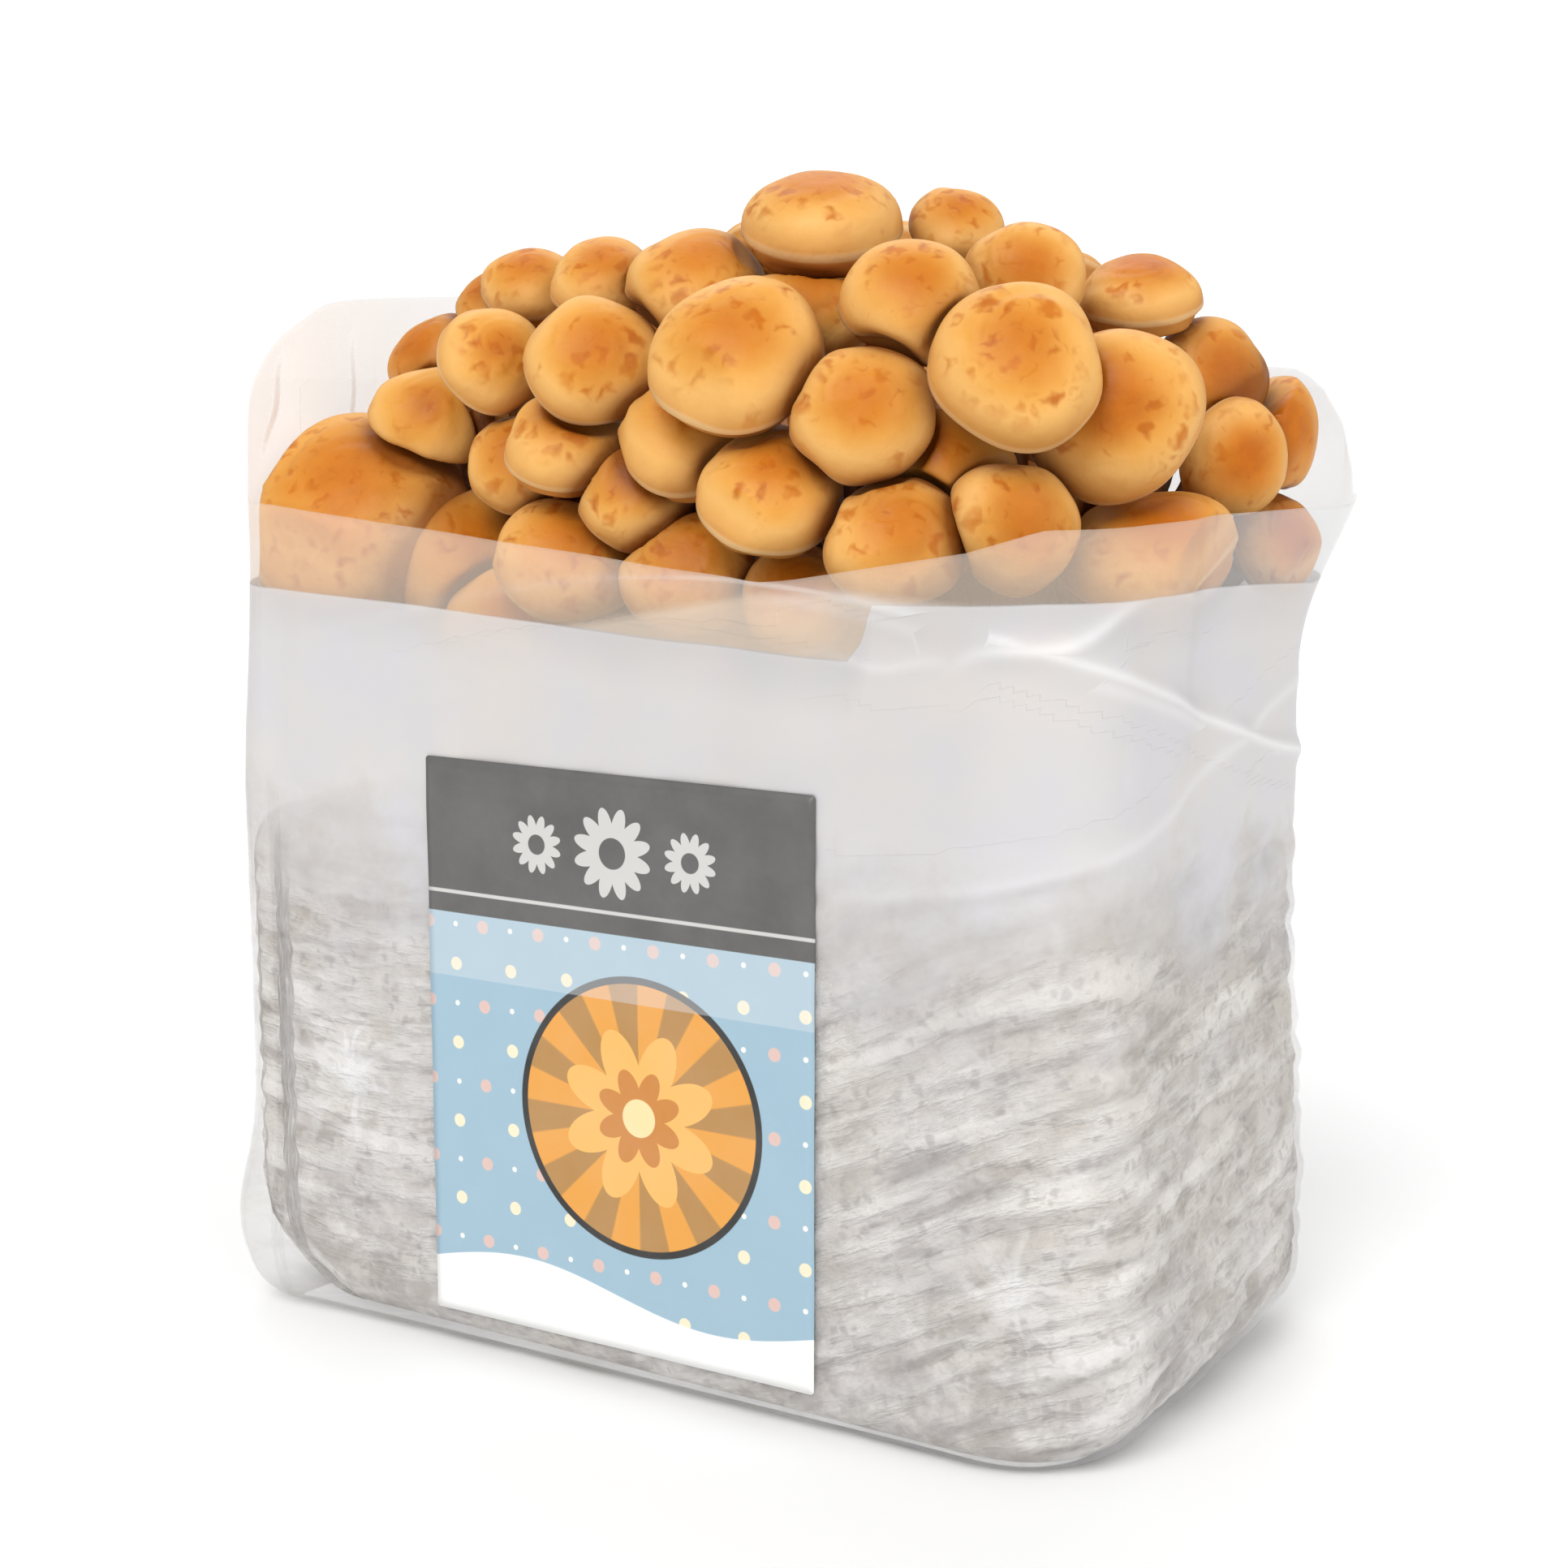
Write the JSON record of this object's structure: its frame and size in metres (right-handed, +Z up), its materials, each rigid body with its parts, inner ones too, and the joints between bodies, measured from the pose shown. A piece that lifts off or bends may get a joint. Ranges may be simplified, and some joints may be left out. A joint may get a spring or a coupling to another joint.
{
  "type": "mushroom grow block",
  "caption": "Grow block of nameko mushrooms: a film bag open at the top round a block of mycelium substrate, with a dense heap of round brown-orange caps on clustered stems.",
  "frame": {"origin": "middle of the bag's flat base, where it stands", "axes": "+Z up, -Y out of the labelled front face, X along the bag's width"},
  "size_m": [0.23, 0.1405, 0.2627],
  "materials": {
    "mycelium": "matte",
    "bag_film": "satin",
    "label_print": "satin",
    "cap_skin": "satin",
    "stem_flesh": "matte"
  },
  "bodies": {
    "root": {"substrate_block": "mycelium", "grow_bag": "bag_film", "label": "label_print", "cap_01": "cap_skin", "cap_02": "cap_skin", "cap_03": "cap_skin", "cap_04": "cap_skin", "cap_05": "cap_skin", "cap_06": "cap_skin", "cap_07": "cap_skin", "cap_08": "cap_skin", "cap_09": "cap_skin", "cap_10": "cap_skin", "cap_11": "cap_skin", "cap_12": "cap_skin", "cap_13": "cap_skin", "cap_14": "cap_skin", "cap_15": "cap_skin", "cap_16": "cap_skin", "cap_17": "cap_skin", "cap_18": "cap_skin", "cap_19": "cap_skin", "cap_20": "cap_skin", "cap_21": "cap_skin", "cap_22": "cap_skin", "cap_23": "cap_skin", "cap_24": "cap_skin", "cap_25": "cap_skin", "cap_26": "cap_skin", "cap_27": "cap_skin", "cap_28": "cap_skin", "cap_29": "cap_skin", "cap_30": "cap_skin", "cap_31": "cap_skin", "cap_32": "cap_skin", "cap_33": "cap_skin", "cap_34": "cap_skin", "cap_35": "cap_skin", "cap_36": "cap_skin", "cap_37": "cap_skin", "cap_38": "cap_skin", "cap_39": "cap_skin", "cap_40": "cap_skin", "cap_41": "cap_skin", "cap_42": "cap_skin", "cap_43": "cap_skin", "cap_44": "cap_skin", "cap_45": "cap_skin", "cap_46": "cap_skin", "cap_47": "cap_skin", "cap_48": "cap_skin", "cap_49": "cap_skin", "cap_50": "cap_skin", "stem_cluster_01": "stem_flesh", "stem_cluster_02": "stem_flesh", "stem_cluster_03": "stem_flesh", "stem_cluster_04": "stem_flesh", "stem_cluster_05": "stem_flesh"}
  },
  "joints": []
}
